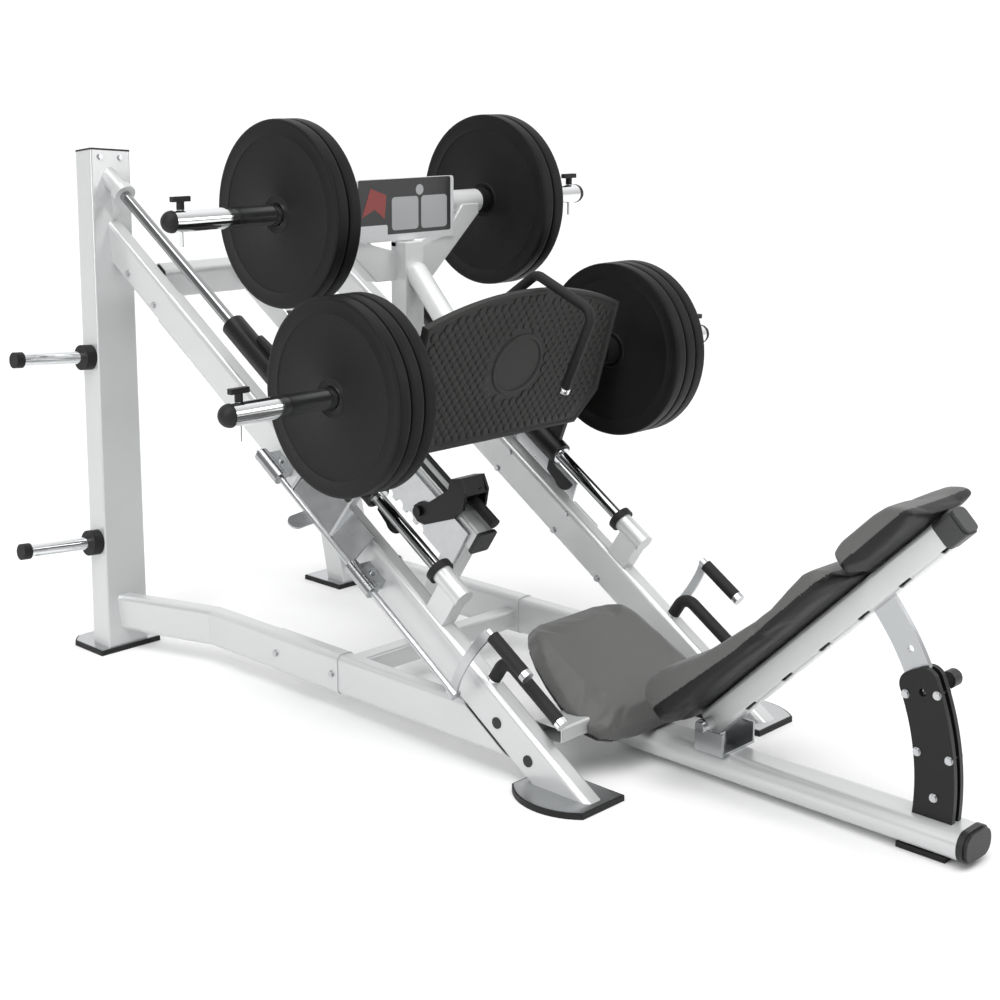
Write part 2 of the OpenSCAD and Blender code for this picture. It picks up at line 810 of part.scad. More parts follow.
module foot_plate() {
    color([0.12, 0.12, 0.12]) difference() {
        on_foot_plate() {
            translate([0, 22, 0]) rotate([90, 0, 0]) linear_extrude(8) foot_shape(-4);
            for (x = [-180, 180]) translate([x - 4, 20, 95]) cube([8, 40, 125]);
        }
        on_slide() translate([-400, lower_horn_s, lower_horn_n]) run_x() cylinder(r = 32 + gap, h = 800);
    }
}

module foot_mat() {
    color([0.25, 0.25, 0.25]) on_foot_plate() translate([0, 14, 0]) rotate([90, 0, 0])
        linear_extrude(14) foot_shape(0);
}

// Chrome horns that hold the plates
module horn(side, s, n, x0, x1) {
    on_slide() translate([side * x0, s, n]) rotate([0, side * 90, 0])
        cylinder(d = horn_d, h = x1 - x0, $fn = 96);
}

pin_back = 26;
module horn_pin_hole(side, s, n, tip) {
    on_slide_point(side * (tip - pin_back), s, n) cylinder(r = 5 + run, h = 200, center = true);
}

// Places upright children at a point given in slide coordinates
module on_slide_point(x, s, n) {
    translate([x, slide_y + s * cos(slide_tilt) - n * sin(slide_tilt),
        s * sin(slide_tilt) + n * cos(slide_tilt)]) children();
}

module plate_horns() {
    color("gainsboro") for (side = [-1, 1]) {
        difference() {
            horn(side, upper_horn_s, upper_horn_n, 110, upper_tip_x - 2);
            horn_pin_hole(side, upper_horn_s, upper_horn_n, upper_tip_x);
        }
        difference() {
            horn(side, lower_horn_s, lower_horn_n, 345, lower_tip_x - 2);
            horn_pin_hole(side, lower_horn_s, lower_horn_n, lower_tip_x);
        }
    }
}

// Rubber ball tips and the collars that the innermost plates rest on
module horn_rubbers() {
    color("black") mirrored() on_slide() {
        for (h = [[upper_horn_s, upper_horn_n, upper_tip_x], [lower_horn_s, lower_horn_n, lower_tip_x]])
            translate([h[2] - 2, h[0], h[1]]) run_x() difference() {
                sphere(r = horn_d / 2 + 1, $fn = 48);
                translate([0, 0, -60]) cylinder(r = 60, h = 60);
            }
        translate([285 + gap, upper_horn_s, upper_horn_n]) run_x()
            round_tube(34, horn_d / 2 + run, upper_stack_x - 285 - 2 * gap);
        translate([373, lower_horn_s, lower_horn_n]) run_x()
            round_tube(36, horn_d / 2 + run, lower_stack_x - 373 - gap);
    }
}

// Handle over the foot plate's top edge, for moving the carriage by hand
module step_handle() {
    r = 12;
    rise = 215;
    across = 195;
    drop = 207;
    color("black") on_slide() translate([40, 313.7, 925]) mirror([0, 1, 0]) rotate([-22.2, 0, 0]) {
        cylinder(r = r, h = rise);
        translate([0, 0, rise]) sphere(r = r + 0.6);
        translate([0, 0, rise]) rotate([-57.1, 0, 0]) {
            cylinder(r = r, h = across);
            translate([0, 0, across]) sphere(r = r + 0.6);
            translate([0, 0, across]) rotate([-92.2, 0, 0]) cylinder(r = r, h = drop);
        }
    }
}

module placard() {
    color([0.2, 0.2, 0.22]) on_slide_point(0, upper_horn_s, upper_horn_n)
        translate([0, -36, -5]) rotate([90, 0, 0]) linear_extrude(4) rounded_rect(330, 156, 8);
}

// One weight plate: rim, recessed web and hub
module weight_plate() {
    rim = 24;
    hub = 52;
    step = 5;
    rotate_extrude($fn = 128) difference() {
        translate([horn_d / 2 + 0.5, 0]) square([plate_d / 2 - horn_d / 2 - 0.5, plate_t]);
        for (z = [-1, plate_t - step + 0])
            translate([hub, z]) square([plate_d / 2 - rim - hub, step + 1]);
    }
}

module stack(side, s, n, x0, count) {
    color([0.1, 0.1, 0.1]) on_slide() for (k = [0 : count - 1])
        translate([side * (x0 + k * (plate_t + 0.2)), s, n]) rotate([0, side * 90, 0]) weight_plate();
}

module left_upper_plates() stack(-1, upper_horn_s, upper_horn_n, upper_stack_x, upper_count);
module right_upper_plates() stack(1, upper_horn_s, upper_horn_n, upper_stack_x, upper_count);
module left_lower_plates() stack(-1, lower_horn_s, lower_horn_n, lower_stack_x, lower_count);
module right_lower_plates() stack(1, lower_horn_s, lower_horn_n, lower_stack_x, lower_count);

// Retaining pin with a T-shaped head
module horn_pin(side, s, n, tip) {
    color("dimgray") on_slide_point(side * (tip - pin_back), s, n) {
        translate([0, 0, -58]) cylinder(r = 5, h = 88, $fn = 32);
        translate([0, 0, horn_d / 2 + 1]) cylinder(r = 9, h = 18, $fn = 32);
        translate([0, 0, horn_d / 2 + 25]) cube([48, 14, 12], center = true);
    }
}

module left_upper_pin() horn_pin(-1, upper_horn_s, upper_horn_n, upper_tip_x);
module right_upper_pin() horn_pin(1, upper_horn_s, upper_horn_n, upper_tip_x);
module left_lower_pin() horn_pin(-1, lower_horn_s, lower_horn_n, lower_tip_x);
module right_lower_pin() horn_pin(1, lower_horn_s, lower_horn_n, lower_tip_x);

// Stop that rides on the centre beam and sits in the rack's notches
module range_stop() {
    inner = centre_w / 2 + 0.5;
    left = -inner - 8;
    cheek = [[60, 497], [45, 540], [62, 582], [95, 602], [121, 577], [112, 547], [150, 466], [172, 452],
        [182, 430], [172, 408], [150, 404], [126, 414]];
    color([0.2, 0.2, 0.2]) on_slide() {
        // Cheeks on both sides of the beam and the rack, and the web that joins them
        for (x = [left - 8, inner]) translate([x, 0, 0]) rotate([90, 0, 90]) linear_extrude(8) polygon(cheek);
        translate([left, 0, 0]) rotate([90, 0, 90]) linear_extrude(inner - left)
            polygon([[58, 574], [95, 602], [121, 577], [113, 570], [94, 590], [66, 568]]);
        translate([left - 18, 160, 430]) run_x() cylinder(r = 13, h = 10);
        // Ring that holds the handle bar
        translate([12, 66, 541]) run_y() round_tube(18, 14.05, 30);
        translate([8, 66, 557]) cube([8, 30, 26]);
    }
}

module range_stop_grip() {
    color("black") on_slide() translate([12, -20, 541]) run_y() cylinder(r = 14, h = 124);
}

left_column();
right_column();
left_rail();
right_rail();
lower_beams();
joint_sleeves();
foot_plates();
foot_pads();
end_caps();
rear_cross_beam();
main_beam();
centre_beam();
wear_strips();
rack_plate();
guide_rods();
rod_top_mounts();
rod_bottom_mounts();
rod_bumpers();
lever_collars();
fixed_handles();
handle_grips();
storage_horns();
storage_rubbers();
seat_pan();
seat_pad();
hinge_bracket();
hinge_pin();
arc_guide_plates();
frame_bolts();
backrest_tube();
backrest_cap();
back_pad();
head_pad();
support_arc();
pull_pin();
pull_knob();
left_lever();
left_lever_grip();
right_lever();
right_lever_grip();
carriage_frame();
bearing_housings();
linear_bushings();
mast();
foot_plate();
foot_mat();
plate_horns();
horn_rubbers();
step_handle();
placard();
left_upper_plates();
right_upper_plates();
left_lower_plates();
right_lower_plates();
left_upper_pin();
right_upper_pin();
left_lower_pin();
right_lower_pin();
range_stop();
range_stop_grip();
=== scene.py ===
import json
import math
import bmesh
import bpy
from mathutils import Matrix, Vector


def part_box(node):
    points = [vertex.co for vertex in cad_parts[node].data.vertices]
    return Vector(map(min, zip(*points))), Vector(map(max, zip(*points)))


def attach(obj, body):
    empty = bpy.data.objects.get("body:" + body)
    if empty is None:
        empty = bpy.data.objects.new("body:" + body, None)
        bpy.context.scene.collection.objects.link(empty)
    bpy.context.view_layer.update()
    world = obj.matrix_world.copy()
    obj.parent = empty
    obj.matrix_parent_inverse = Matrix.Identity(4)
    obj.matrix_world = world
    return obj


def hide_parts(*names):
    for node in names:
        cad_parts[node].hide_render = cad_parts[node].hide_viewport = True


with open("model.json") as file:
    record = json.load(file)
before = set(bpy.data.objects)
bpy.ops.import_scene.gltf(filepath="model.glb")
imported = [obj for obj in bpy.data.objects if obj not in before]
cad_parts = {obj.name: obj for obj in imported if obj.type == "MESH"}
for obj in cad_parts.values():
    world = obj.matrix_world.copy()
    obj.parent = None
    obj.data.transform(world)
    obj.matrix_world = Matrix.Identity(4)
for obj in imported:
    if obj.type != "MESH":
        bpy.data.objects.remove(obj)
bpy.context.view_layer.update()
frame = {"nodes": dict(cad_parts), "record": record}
NODES = frame["nodes"]

# ---------------------------------------------------------------- slide geometry, in metres
TILT = math.radians(33.3)
SLIDE_Y = 0.370


def slide(x, s, n):
    """A point given across, up the slope and square to it."""
    return Vector((x, SLIDE_Y + s * math.cos(TILT) - n * math.sin(TILT),
                   s * math.sin(TILT) + n * math.cos(TILT)))


UPPER_S, UPPER_N = 0.683, 0.997
LOWER_S, LOWER_N = 0.179, 0.879
PLATE_R, PLATE_T = 0.225, 0.038
UPPER_X, LOWER_X = 0.3115, 0.4165


# ---------------------------------------------------------------- materials
def new_material(name):
    mat = bpy.data.materials.new(name)
    mat.use_nodes = True
    return mat, mat.node_tree.nodes, mat.node_tree.links


def surface(name, color, rough, metal=0.0, coat=0.0, coat_rough=0.1, mottle=0.0, mottle_scale=6.0,
            rough_spread=0.0, grain=0.0, grain_scale=400.0, grain_detail=2.0, stretch=(1, 1, 1),
            sheen=0.0, specular=0.5, cells=False):
    """A principled material whose colour, roughness and relief vary with procedural noise."""
    mat, nodes, links = new_material(name)
    out = nodes["Principled BSDF"]
    out.inputs["Base Color"].default_value = (*color, 1)
    out.inputs["Roughness"].default_value = rough
    out.inputs["Metallic"].default_value = metal
    out.inputs["Coat Weight"].default_value = coat
    out.inputs["Coat Roughness"].default_value = coat_rough
    out.inputs["Sheen Weight"].default_value = sheen
    out.inputs["Specular IOR Level"].default_value = specular
    coords = nodes.new("ShaderNodeTexCoord")
    place = nodes.new("ShaderNodeMapping")
    place.inputs["Scale"].default_value = stretch
    links.new(coords.outputs["Object"], place.inputs["Vector"])
    broad = nodes.new("ShaderNodeTexNoise")
    broad.inputs["Scale"].default_value = mottle_scale
    broad.inputs["Detail"].default_value = 5
    links.new(place.outputs["Vector"], broad.inputs["Vector"])
    if mottle:
        ramp = nodes.new("ShaderNodeValToRGB")
        ramp.color_ramp.elements[0].position = 0.3
        ramp.color_ramp.elements[1].position = 0.7
        ramp.color_ramp.elements[0].color = (*[c * (1 - mottle) for c in color], 1)
        ramp.color_ramp.elements[1].color = (*[min(1, c * (1 + mottle)) for c in color], 1)
        links.new(broad.outputs["Fac"], ramp.inputs["Fac"])
        links.new(ramp.outputs["Color"], out.inputs["Base Color"])
    if rough_spread:
        span = nodes.new("ShaderNodeMapRange")
        span.inputs["To Min"].default_value = max(0.02, rough - rough_spread)
        span.inputs["To Max"].default_value = min(1, rough + rough_spread)
        links.new(broad.outputs["Fac"], span.inputs["Value"])
        links.new(span.outputs["Result"], out.inputs["Roughness"])
    if grain:
        if cells:
            fine = nodes.new("ShaderNodeTexVoronoi")
            fine.feature = "DISTANCE_TO_EDGE"
            height = fine.outputs["Distance"]
        else:
            fine = nodes.new("ShaderNodeTexNoise")
            fine.inputs["Detail"].default_value = grain_detail
            height = fine.outputs["Fac"]
        fine.inputs["Scale"].default_value = grain_scale
        links.new(place.outputs["Vector"], fine.inputs["Vector"])
        bump = nodes.new("ShaderNodeBump")
        bump.inputs["Strength"].default_value = grain
        bump.inputs["Distance"].default_value = 0.001
        links.new(height, bump.inputs["Height"])
        links.new(bump.outputs["Normal"], out.inputs["Normal"])
    return mat


PAINT = surface("white_powder_coat", (0.61, 0.62, 0.622), 0.30, metal=0.35, coat=0.3, mottle=0.015,
                rough_spread=0.05, grain=0.05, grain_scale=900)
# A brighter copy of the white paint for the mast: painted light that lifts the mast out of its shade
PAINT_PAINTED_LIGHT = surface("white_powder_coat_painted_light", (0.86, 0.87, 0.872), 0.32, metal=0.1, coat=0.3, mottle=0.015,
                      rough_spread=0.05, grain=0.05, grain_scale=900)
STEEL = surface("zinc_steel", (0.52, 0.53, 0.54), 0.30, metal=1.0, mottle=0.05, mottle_scale=30,
                rough_spread=0.07, grain=0.03, grain_scale=500)
BRUSHED = surface("brushed_steel", (0.42, 0.43, 0.44), 0.24, metal=1.0, mottle=0.02, mottle_scale=8,
                  rough_spread=0.04, grain=0.02, grain_scale=300, stretch=(1, 0.1, 1))
# A dimmed copy of the chrome for the guide rods: painted shade standing in for the dark reflections they would
# show
ROD_CHROME_PAINTED_SHADE = surface("rod_chrome_painted_shade", (0.34, 0.345, 0.35), 0.08, metal=1.0, rough_spread=0.03, mottle=0.02)
CHROME = surface("polished_chrome", (0.84, 0.85, 0.86), 0.06, metal=1.0, rough_spread=0.02, mottle=0.02)
RUBBER = surface("black_rubber", (0.010, 0.010, 0.010), 0.55, mottle=0.12, mottle_scale=20, rough_spread=0.08,
                 grain=0.25, grain_scale=700, specular=0.3)
GRIP = surface("grip_rubber", (0.012, 0.012, 0.012), 0.60, mottle=0.1, mottle_scale=30, rough_spread=0.06,
               grain=0.35, grain_scale=900, specular=0.3)
PLASTIC = surface("black_plastic", (0.018, 0.018, 0.019), 0.42, mottle=0.08, rough_spread=0.05, grain=0.15,
                  grain_scale=800, specular=0.35)
CAP = surface("grey_plastic", (0.040, 0.041, 0.042), 0.42, mottle=0.06, rough_spread=0.05, grain=0.12,
              grain_scale=800, specular=0.4)
BLACK = surface("black_powder_coat", (0.006, 0.006, 0.006), 0.40, coat=0.04, mottle=0.1, rough_spread=0.06,
                grain=0.12, grain_scale=900, specular=0.3)
IRON = surface("plate_coating", (0.0055, 0.0055, 0.0053), 0.50, mottle=0.2, mottle_scale=12, rough_spread=0.08,
               grain=0.5, grain_scale=300, grain_detail=6, specular=0.2)
VINYL = surface("upholstery_vinyl", (0.100, 0.100, 0.098), 0.50, mottle=0.05, rough_spread=0.05, grain=0.55,
                grain_scale=330, cells=True, sheen=0.08, specular=0.35)
# A near-black copy of the vinyl, used as painted shade on the undersides of the backrest cushions
VINYL_PAINTED_SHADE = surface("upholstery_painted_shade", (0.006, 0.006, 0.0058), 0.42, mottle=0.05, rough_spread=0.05,
                     grain=0.35, grain_scale=330, cells=True, specular=0.3)
MAT_RUBBER = surface("mat_rubber", (0.022, 0.022, 0.021), 0.55, mottle=0.08, mottle_scale=15, rough_spread=0.05,
                     grain=0.2, grain_scale=700, specular=0.35)

FINISH = {
    "white_paint": PAINT, "zinc_steel": STEEL, "chrome": CHROME, "black_rubber": RUBBER,
    "black_plastic": PLASTIC, "black_paint": BLACK, "upholstery": VINYL, "placard_print": PLASTIC,
}
SLOTS = {row["node"]: row["material_slot"] for row in frame["record"]["subparts"]}
SPECIAL = {
    "foot_mat": MAT_RUBBER, "handle_grips": GRIP, "left_lever_grip": GRIP, "right_lever_grip": GRIP,
    "backrest_cap": CAP, "end_caps": PLASTIC, "support_arc": BRUSHED, "rod_bottom_mounts": PAINT,
    "hinge_bracket": BRUSHED, "lever_collars": BRUSHED, "guide_rods": ROD_CHROME_PAINTED_SHADE,
    "range_stop_grip": GRIP,
}
BEVELLED = {
    "left_column": 0.002, "right_column": 0.002, "foot_plates": 0.0012, "foot_pads": 0.002, "end_caps": 0.002,
    "rack_plate": 0.001, "rod_bottom_mounts": 0.0015, "rod_bumpers": 0.002, "lever_collars": 0.0015,
    "storage_rubbers": 0.002, "hinge_bracket": 0.001, "hinge_pin": 0.001, "arc_guide_plates": 0.0015,
    "backrest_cap": 0.004, "support_arc": 0.0012, "pull_knob": 0.002, "carriage_frame": 0.0015,
    "bearing_housings": 0.001, "linear_bushings": 0.001, "foot_plate": 0.001,
    "horn_rubbers": 0.001, "range_stop": 0.0015, "left_lever": 0.001, "right_lever": 0.001,
    "rod_top_mounts": 0.0015, "fixed_handles": 0.001, "frame_bolts": 0.0006,
}


def soften_edges(piece, width):
    """Rounds the crisp edges of a piece with a bevel modifier."""
    edge = piece.modifiers.new("edge", "BEVEL")
    edge.width = width
    edge.segments = 2
    edge.limit_method = "ANGLE"
    edge.angle_limit = math.radians(50)
    edge.harden_normals = False


for name, node in NODES.items():
    finish = SPECIAL.get(name, FINISH[SLOTS[name]])
    node.data.materials.clear()
    node.data.materials.append(finish)
    if name in BEVELLED:
        soften_edges(node, BEVELLED[name])

# The lock pins carry a black knob above the horn they pass through
HORN_TOP = 0.0255
for label in ("left", "right"):
    for level, s, n in (("upper", UPPER_S, UPPER_N), ("lower", LOWER_S, LOWER_N)):
        pin = NODES[f"{label}_{level}_pin"]
        pin.data.materials.append(BLACK)
        for face in pin.data.polygons:
            if (pin.matrix_world @ face.center).z > slide(0, s, n).z + HORN_TOP:
                face.material_index = 1


# ---------------------------------------------------------------- mesh helpers
def mesh_piece(name, mesh, material, body, smooth=True, replaces=()):
    piece = bpy.data.objects.new(name, mesh)
    bpy.context.scene.collection.objects.link(piece)
    mesh.materials.clear()
    mesh.materials.append(material)
    if smooth:
        for face in mesh.polygons:
            face.use_smooth = True
    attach(piece, body)
    if replaces:
        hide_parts(*replaces)
    return piece


def mesh_from(bm, name):
    bmesh.ops.remove_doubles(bm, verts=bm.verts, dist=1e-6)
    bmesh.ops.recalc_face_normals(bm, faces=bm.faces)
    mesh = bpy.data.meshes.new(name)
    bm.to_mesh(mesh)
    bm.free()
    return mesh


def sharp_by_angle(piece, degrees):
    """Marks edges sharper than the angle, so that smooth shading keeps them crisp."""
    bm = bmesh.new()
    bm.from_mesh(piece.data)
    for edge in bm.edges:
        if len(edge.link_faces) == 2 and edge.calc_face_angle(0) > math.radians(degrees):
            edge.smooth = False
    bm.to_mesh(piece.data)
    bm.free()
    return piece


def lathe(bm, profile, centre, axis, side, steps=128):
    """Spins a closed outline of (radius, height) points about an axis through centre."""
    up = Vector(axis).normalized() * side
    ref = Vector((0, 1, 0)) if abs(up.x) > 0.9 else Vector((1, 0, 0))
    u = up.cross(ref).normalized()
    v = up.cross(u)
    rings = []
    for i in range(steps):
        a = 2 * math.pi * i / steps
        out = u * math.cos(a) + v * math.sin(a)
        rings.append([bm.verts.new(centre + out * r + up * h) for r, h in profile])
    count = len(profile)
    for i in range(steps):
        here, there = rings[i], rings[(i + 1) % steps]
        for k in range(count):
            m = (k + 1) % count
            bm.faces.new((here[k], there[k], there[m], here[m]))


def tube(bm, points, radius, steps=24):
    """Sweeps a circle along points and closes both ends; radius is a number or a function of the index."""
    frames = []
    previous = None
    for i, p in enumerate(points):
        ahead = points[min(i + 1, len(points) - 1)] - points[max(i - 1, 0)]
        t = ahead.normalized()
        if previous is None:
            ref = Vector((1, 0, 0)) if abs(t.x) < 0.8 else Vector((0, 0, 1))
            u = t.cross(ref).normalized()
        else:
            u = (previous - t * previous.dot(t)).normalized()
        previous = u
        v = t.cross(u)
        r = radius(i) if callable(radius) else radius
        frames.append([bm.verts.new(p + (u * math.cos(a) + v * math.sin(a)) * r)
                       for a in [2 * math.pi * k / steps for k in range(steps)]])
    for here, there in zip(frames, frames[1:]):
        for k in range(steps):
            m = (k + 1) % steps
            bm.faces.new((here[k], here[m], there[m], there[k]))
    bm.faces.new(frames[0][::-1])
    bm.faces.new(frames[-1])


def rounded_path(corners, radius, steps=14):
    """The polyline through corners with each inner corner turned on an arc."""
    points = [corners[0]]
    for a, b, c in zip(corners, corners[1:], corners[2:]):
        d1, d2 = (a - b).normalized(), (c - b).normalized()
        half = d1.angle(d2) / 2
        cut = radius / math.tan(half)
        start, end = b + d1 * cut, b + d2 * cut
        centre = b + (d1 + d2).normalized() * (radius / math.sin(half))
        r1, r2 = start - centre, end - centre
        turn = r1.angle(r2)
        for k in range(steps + 1):
            f = k / steps
            points.append(centre + (r1 * math.sin((1 - f) * turn) + r2 * math.sin(f * turn)) / math.sin(turn))
    points.append(corners[-1])
    return points


# ---------------------------------------------------------------- weight plates
def plate_profile():
    """(radius, height) points of one disc, from its inner face to its outer face."""
    t = PLATE_T
    face = 0.0025
    half = [
        (0.0262, 0.004), (0.0300, 0.0015), (0.0400, 0.0015), (0.0415, 0.0002), (0.0450, 0.0002),
        (0.0466, 0.0020),
        (0.0490, face + 0.0008), (0.1840, face + 0.0008), (0.1852, face - 0.0004), (0.1880, face - 0.0004),
        (0.1892, face + 0.0004), (0.2150, 0.0012), (0.2200, 0.0016), (0.2235, 0.0036), (0.2248, 0.0075),
    ]
    return half + [(PLATE_R, 0.0120), (PLATE_R, t - 0.0120)] + [(r, t - h) for r, h in reversed(half)]


def plate_stack(name, side, s, n, x0, count, body, node):
    bm = bmesh.new()
    for k in range(count):
        start = slide(side * (x0 + k * (PLATE_T + 0.0002)), s, n)
        lathe(bm, plate_profile(), start, (1, 0, 0), side)
    piece = mesh_piece(name, mesh_from(bm, name), IRON, body, replaces=(node,))
    return sharp_by_angle(piece, 38)


for label, side in (("left", -1), ("right", 1)):
    plate_stack(f"{label}_upper_discs", side, UPPER_S, UPPER_N, UPPER_X, 2, f"{label}_upper_stack",
                f"{label}_upper_plates")
    plate_stack(f"{label}_lower_discs", side, LOWER_S, LOWER_N, LOWER_X, 3, f"{label}_lower_stack",
                f"{label}_lower_plates")

# ---------------------------------------------------------------- foot plate relief
LEAN = math.radians(33.3 - 16.5)
FOOT_BASE = slide(0, 0.078, 0.745)
FOOT_UP = Vector((0, -math.sin(LEAN), math.cos(LEAN)))
FOOT_OUT = Vector((0, -math.cos(LEAN), -math.sin(LEAN)))


def on_foot(x, a, b):
    """A point on the foot plate: across, up it, and out of its face."""
    return FOOT_BASE + Vector((x, 0, 0)) + FOOT_UP * a + FOOT_OUT * b


def inside_foot(x, a, margin):
    x = abs(x) + margin
    low, high = a - margin, a + margin
    if low < 0 or x > 0.332 or high > 0.405:
        return False
    if low < 0.08 and x > 0.270 + 0.062 * low / 0.08:
        return False
    if math.hypot(x, high + 0.540) > 0.925:
        return False
    cx, cy = 0.332 - 0.060, 0.180 + 0.235 - 0.060
    if x > cx and high > cy and math.hypot(x - cx, high - cy) > 0.060:
        return False
    return True


def foot_outline(margin, steps=240):
    """Outline points of the foot plate, drawn in by margin."""
    points = []
    for i in range(steps):
        t = 2 * math.pi * i / steps
        low, high = 0.0, 0.6
        for _ in range(24):
            mid = (low + high) / 2
            if inside_foot(mid * math.cos(t), 0.19 + mid * math.sin(t), margin):
                low = mid
            else:
                high = mid
        points.append((low * math.cos(t), 0.19 + low * math.sin(t)))
    return points


def closed_ring(bm, centres, section):
    """Sweeps a (inward, height) section round a closed outline on the foot plate."""
    count = len(centres)
    mid = (sum(p[0] for p in centres) / count, sum(p[1] for p in centres) / count)
    rings = []
    for i in range(count):
        ahead, behind = centres[(i + 1) % count], centres[i - 1]
        t = Vector((ahead[0] - behind[0], ahead[1] - behind[1])).normalized()
        inward = Vector((-t.y, t.x))
        if inward.dot(Vector((mid[0] - centres[i][0], mid[1] - centres[i][1]))) < 0:
            inward = -inward
        rings.append([bm.verts.new(on_foot(centres[i][0] + inward.x * d, centres[i][1] + inward.y * d, h))
                      for d, h in section])
    for i in range(count):
        here, there = rings[i], rings[(i + 1) % count]
        for k in range(len(section) - 1):
            bm.faces.new((here[k], here[k + 1], there[k + 1], there[k]))


EMBLEM = (0.0, 0.195)
EMBLEM_RX, EMBLEM_RA = 0.086, 0.080


def scale_field():
    """Overlapping round scales, each raised on its left edge."""
    bm = bmesh.new()
    pitch_x, pitch_a, r, rise = 0.0252, 0.0158, 0.0138, 0.0030
    steps = 18
    rows = int(0.41 / pitch_a) + 1
    for j in range(rows):
        a = 0.014 + j * pitch_a
        for i in range(-15, 16):
            x = (i + 0.5 * (j % 2)) * pitch_x
            if not inside_foot(x, a, 0.019):
                continue
            if ((x - EMBLEM[0]) / (EMBLEM_RX + 0.013)) ** 2 + ((a - EMBLEM[1]) / (EMBLEM_RA + 0.013)) ** 2 < 1:
                continue
            def height(u):
                return rise * (0.5 - 0.5 * u / r) + 0.0002
            top = bm.verts.new(on_foot(x, a, height(0) + 0.0004))
            rim, foot = [], []
            for k in range(steps):
                t = 2 * math.pi * k / steps
                u, w = math.cos(t), math.sin(t)
                rim.append(bm.verts.new(on_foot(x + 0.88 * r * u, a + 0.88 * r * w, height(0.88 * r * u))))
                foot.append((bm.verts.new(on_foot(x + r * u, a + r * w, max(height(r * u) - 0.0011, -0.0002))),
                             bm.verts.new(on_foot(x + r * u, a + r * w, -0.0004))))
            for k in range(steps):
                m = (k + 1) % steps
                bm.faces.new((top, rim[k], rim[m]))
                bm.faces.new((rim[k], foot[k][0], foot[m][0], rim[m]))
                bm.faces.new((foot[k][0], foot[k][1], foot[m][1], foot[m][0]))
    return mesh_from(bm, "mat_scales")


sharp_by_angle(mesh_piece("mat_scales", scale_field(), MAT_RUBBER, "carriage"), 40)

bm = bmesh.new()
closed_ring(bm, foot_outline(0.0005), [(0.0, -0.013), (0.0, -0.002), (0.0012, 0.0012), (0.004, 0.0026),
                                       (0.008, 0.0026), (0.0105, 0.0012), (0.0120, -0.0004)])
mesh_piece("mat_rim", mesh_from(bm, "mat_rim"), MAT_RUBBER, "carriage")

bm = bmesh.new()
oval = [(EMBLEM[0] + EMBLEM_RX * math.cos(2 * math.pi * i / 120),
         EMBLEM[1] + EMBLEM_RA * math.sin(2 * math.pi * i / 120)) for i in range(120)]
closed_ring(bm, oval, [(0.0, -0.0004), (0.0006, 0.0020), (0.0022, 0.0030), (0.0105, 0.0030), (0.0122, 0.0020),
                       (0.0130, 0.0006)])
mesh_piece("mat_ring", mesh_from(bm, "mat_ring"), MAT_RUBBER, "carriage")

# ---------------------------------------------------------------- hand bar over the foot plate
HAND_X = 0.040
corners = [slide(HAND_X, 0.3137, 0.925), slide(HAND_X, 0.2325, 1.1241), slide(HAND_X, 0.0409, 1.1602),
           slide(HAND_X, 0.0103, 0.9553)]
bm = bmesh.new()
tube(bm, rounded_path(corners, 0.032), 0.0122, steps=32)
mesh_piece("hand_bar", mesh_from(bm, "hand_bar"), GRIP, "carriage", replaces=("step_handle",))
down = (corners[3] - corners[2]).normalized()
bm = bmesh.new()
tube(bm, [corners[3] + down * d for d in (-0.002, -0.001, 0.010, 0.012)],
     lambda i: (0.0118, 0.0135, 0.0135, 0.0120)[i], steps=32)
sharp_by_angle(mesh_piece("hand_bar_end", mesh_from(bm, "hand_bar_end"), CHROME, "carriage"), 40)


# ---------------------------------------------------------------- mast that carries the upper horns
MAST = slide(0, UPPER_S, UPPER_N)


def at_mast(x, y, z):
    """A point given from the middle of the upper horn tube, in upright axes."""
    return MAST + Vector((x, y, z))


def prism(bm, outline, depth):
    """A slab across +y from an outline of (x, z) points, drawn from the mast's middle at depth (y0, y1)."""
    front = [bm.verts.new(at_mast(x, depth[0], z)) for x, z in outline]
    back = [bm.verts.new(at_mast(x, depth[1], z)) for x, z in outline]
    bm.faces.new(front)
    bm.faces.new(back[::-1])
    for k in range(len(outline)):
        m = (k + 1) % len(outline)
        bm.faces.new((front[k], back[k], back[m], front[m]))


bm = bmesh.new()
tube(bm, [at_mast(x, 0, 0) for x in (-0.2848, 0.2848)], 0.031, steps=48)
prism(bm, [(-0.031, -0.330), (0.031, -0.330), (0.031, -0.086), (-0.031, -0.086)], (-0.068, -0.014))
prism(bm, [(-0.031, -0.100), (0.031, -0.100), (0.031, -0.010), (-0.031, -0.010)], (-0.034, -0.014))
for side in (-1, 1):
    prism(bm, [(side * x, z) for x, z in ((0.265, -0.004), (0.265, -0.030), (0.097, -0.183), (0.028, -0.183),
                                          (0.028, -0.112), (0.145, -0.080), (0.205, -0.004))], (-0.033, 0.010))
# Sloping tube from the post down to the tube of the lower horns, and the hand bar's bracket on it
strut = [at_mast(0, -0.060, -0.148), at_mast(0, -0.064, -0.152), at_mast(0, -0.072, -0.160),
         at_mast(0, -0.283, -0.383)]
tube(bm, strut, lambda i: (0.012, 0.022, 0.0285, 0.0285)[i], steps=40)
prism(bm, [(0.014, -0.390), (0.056, -0.390), (0.056, -0.262), (0.014, -0.262)], (-0.286, -0.252))
# The mast takes the brighter paint copy as painted light
mast = sharp_by_angle(mesh_piece("mast_weldment", mesh_from(bm, "mast_weldment"), PAINT_PAINTED_LIGHT, "carriage",
                                 replaces=("mast",)), 40)
soften_edges(mast, 0.002)


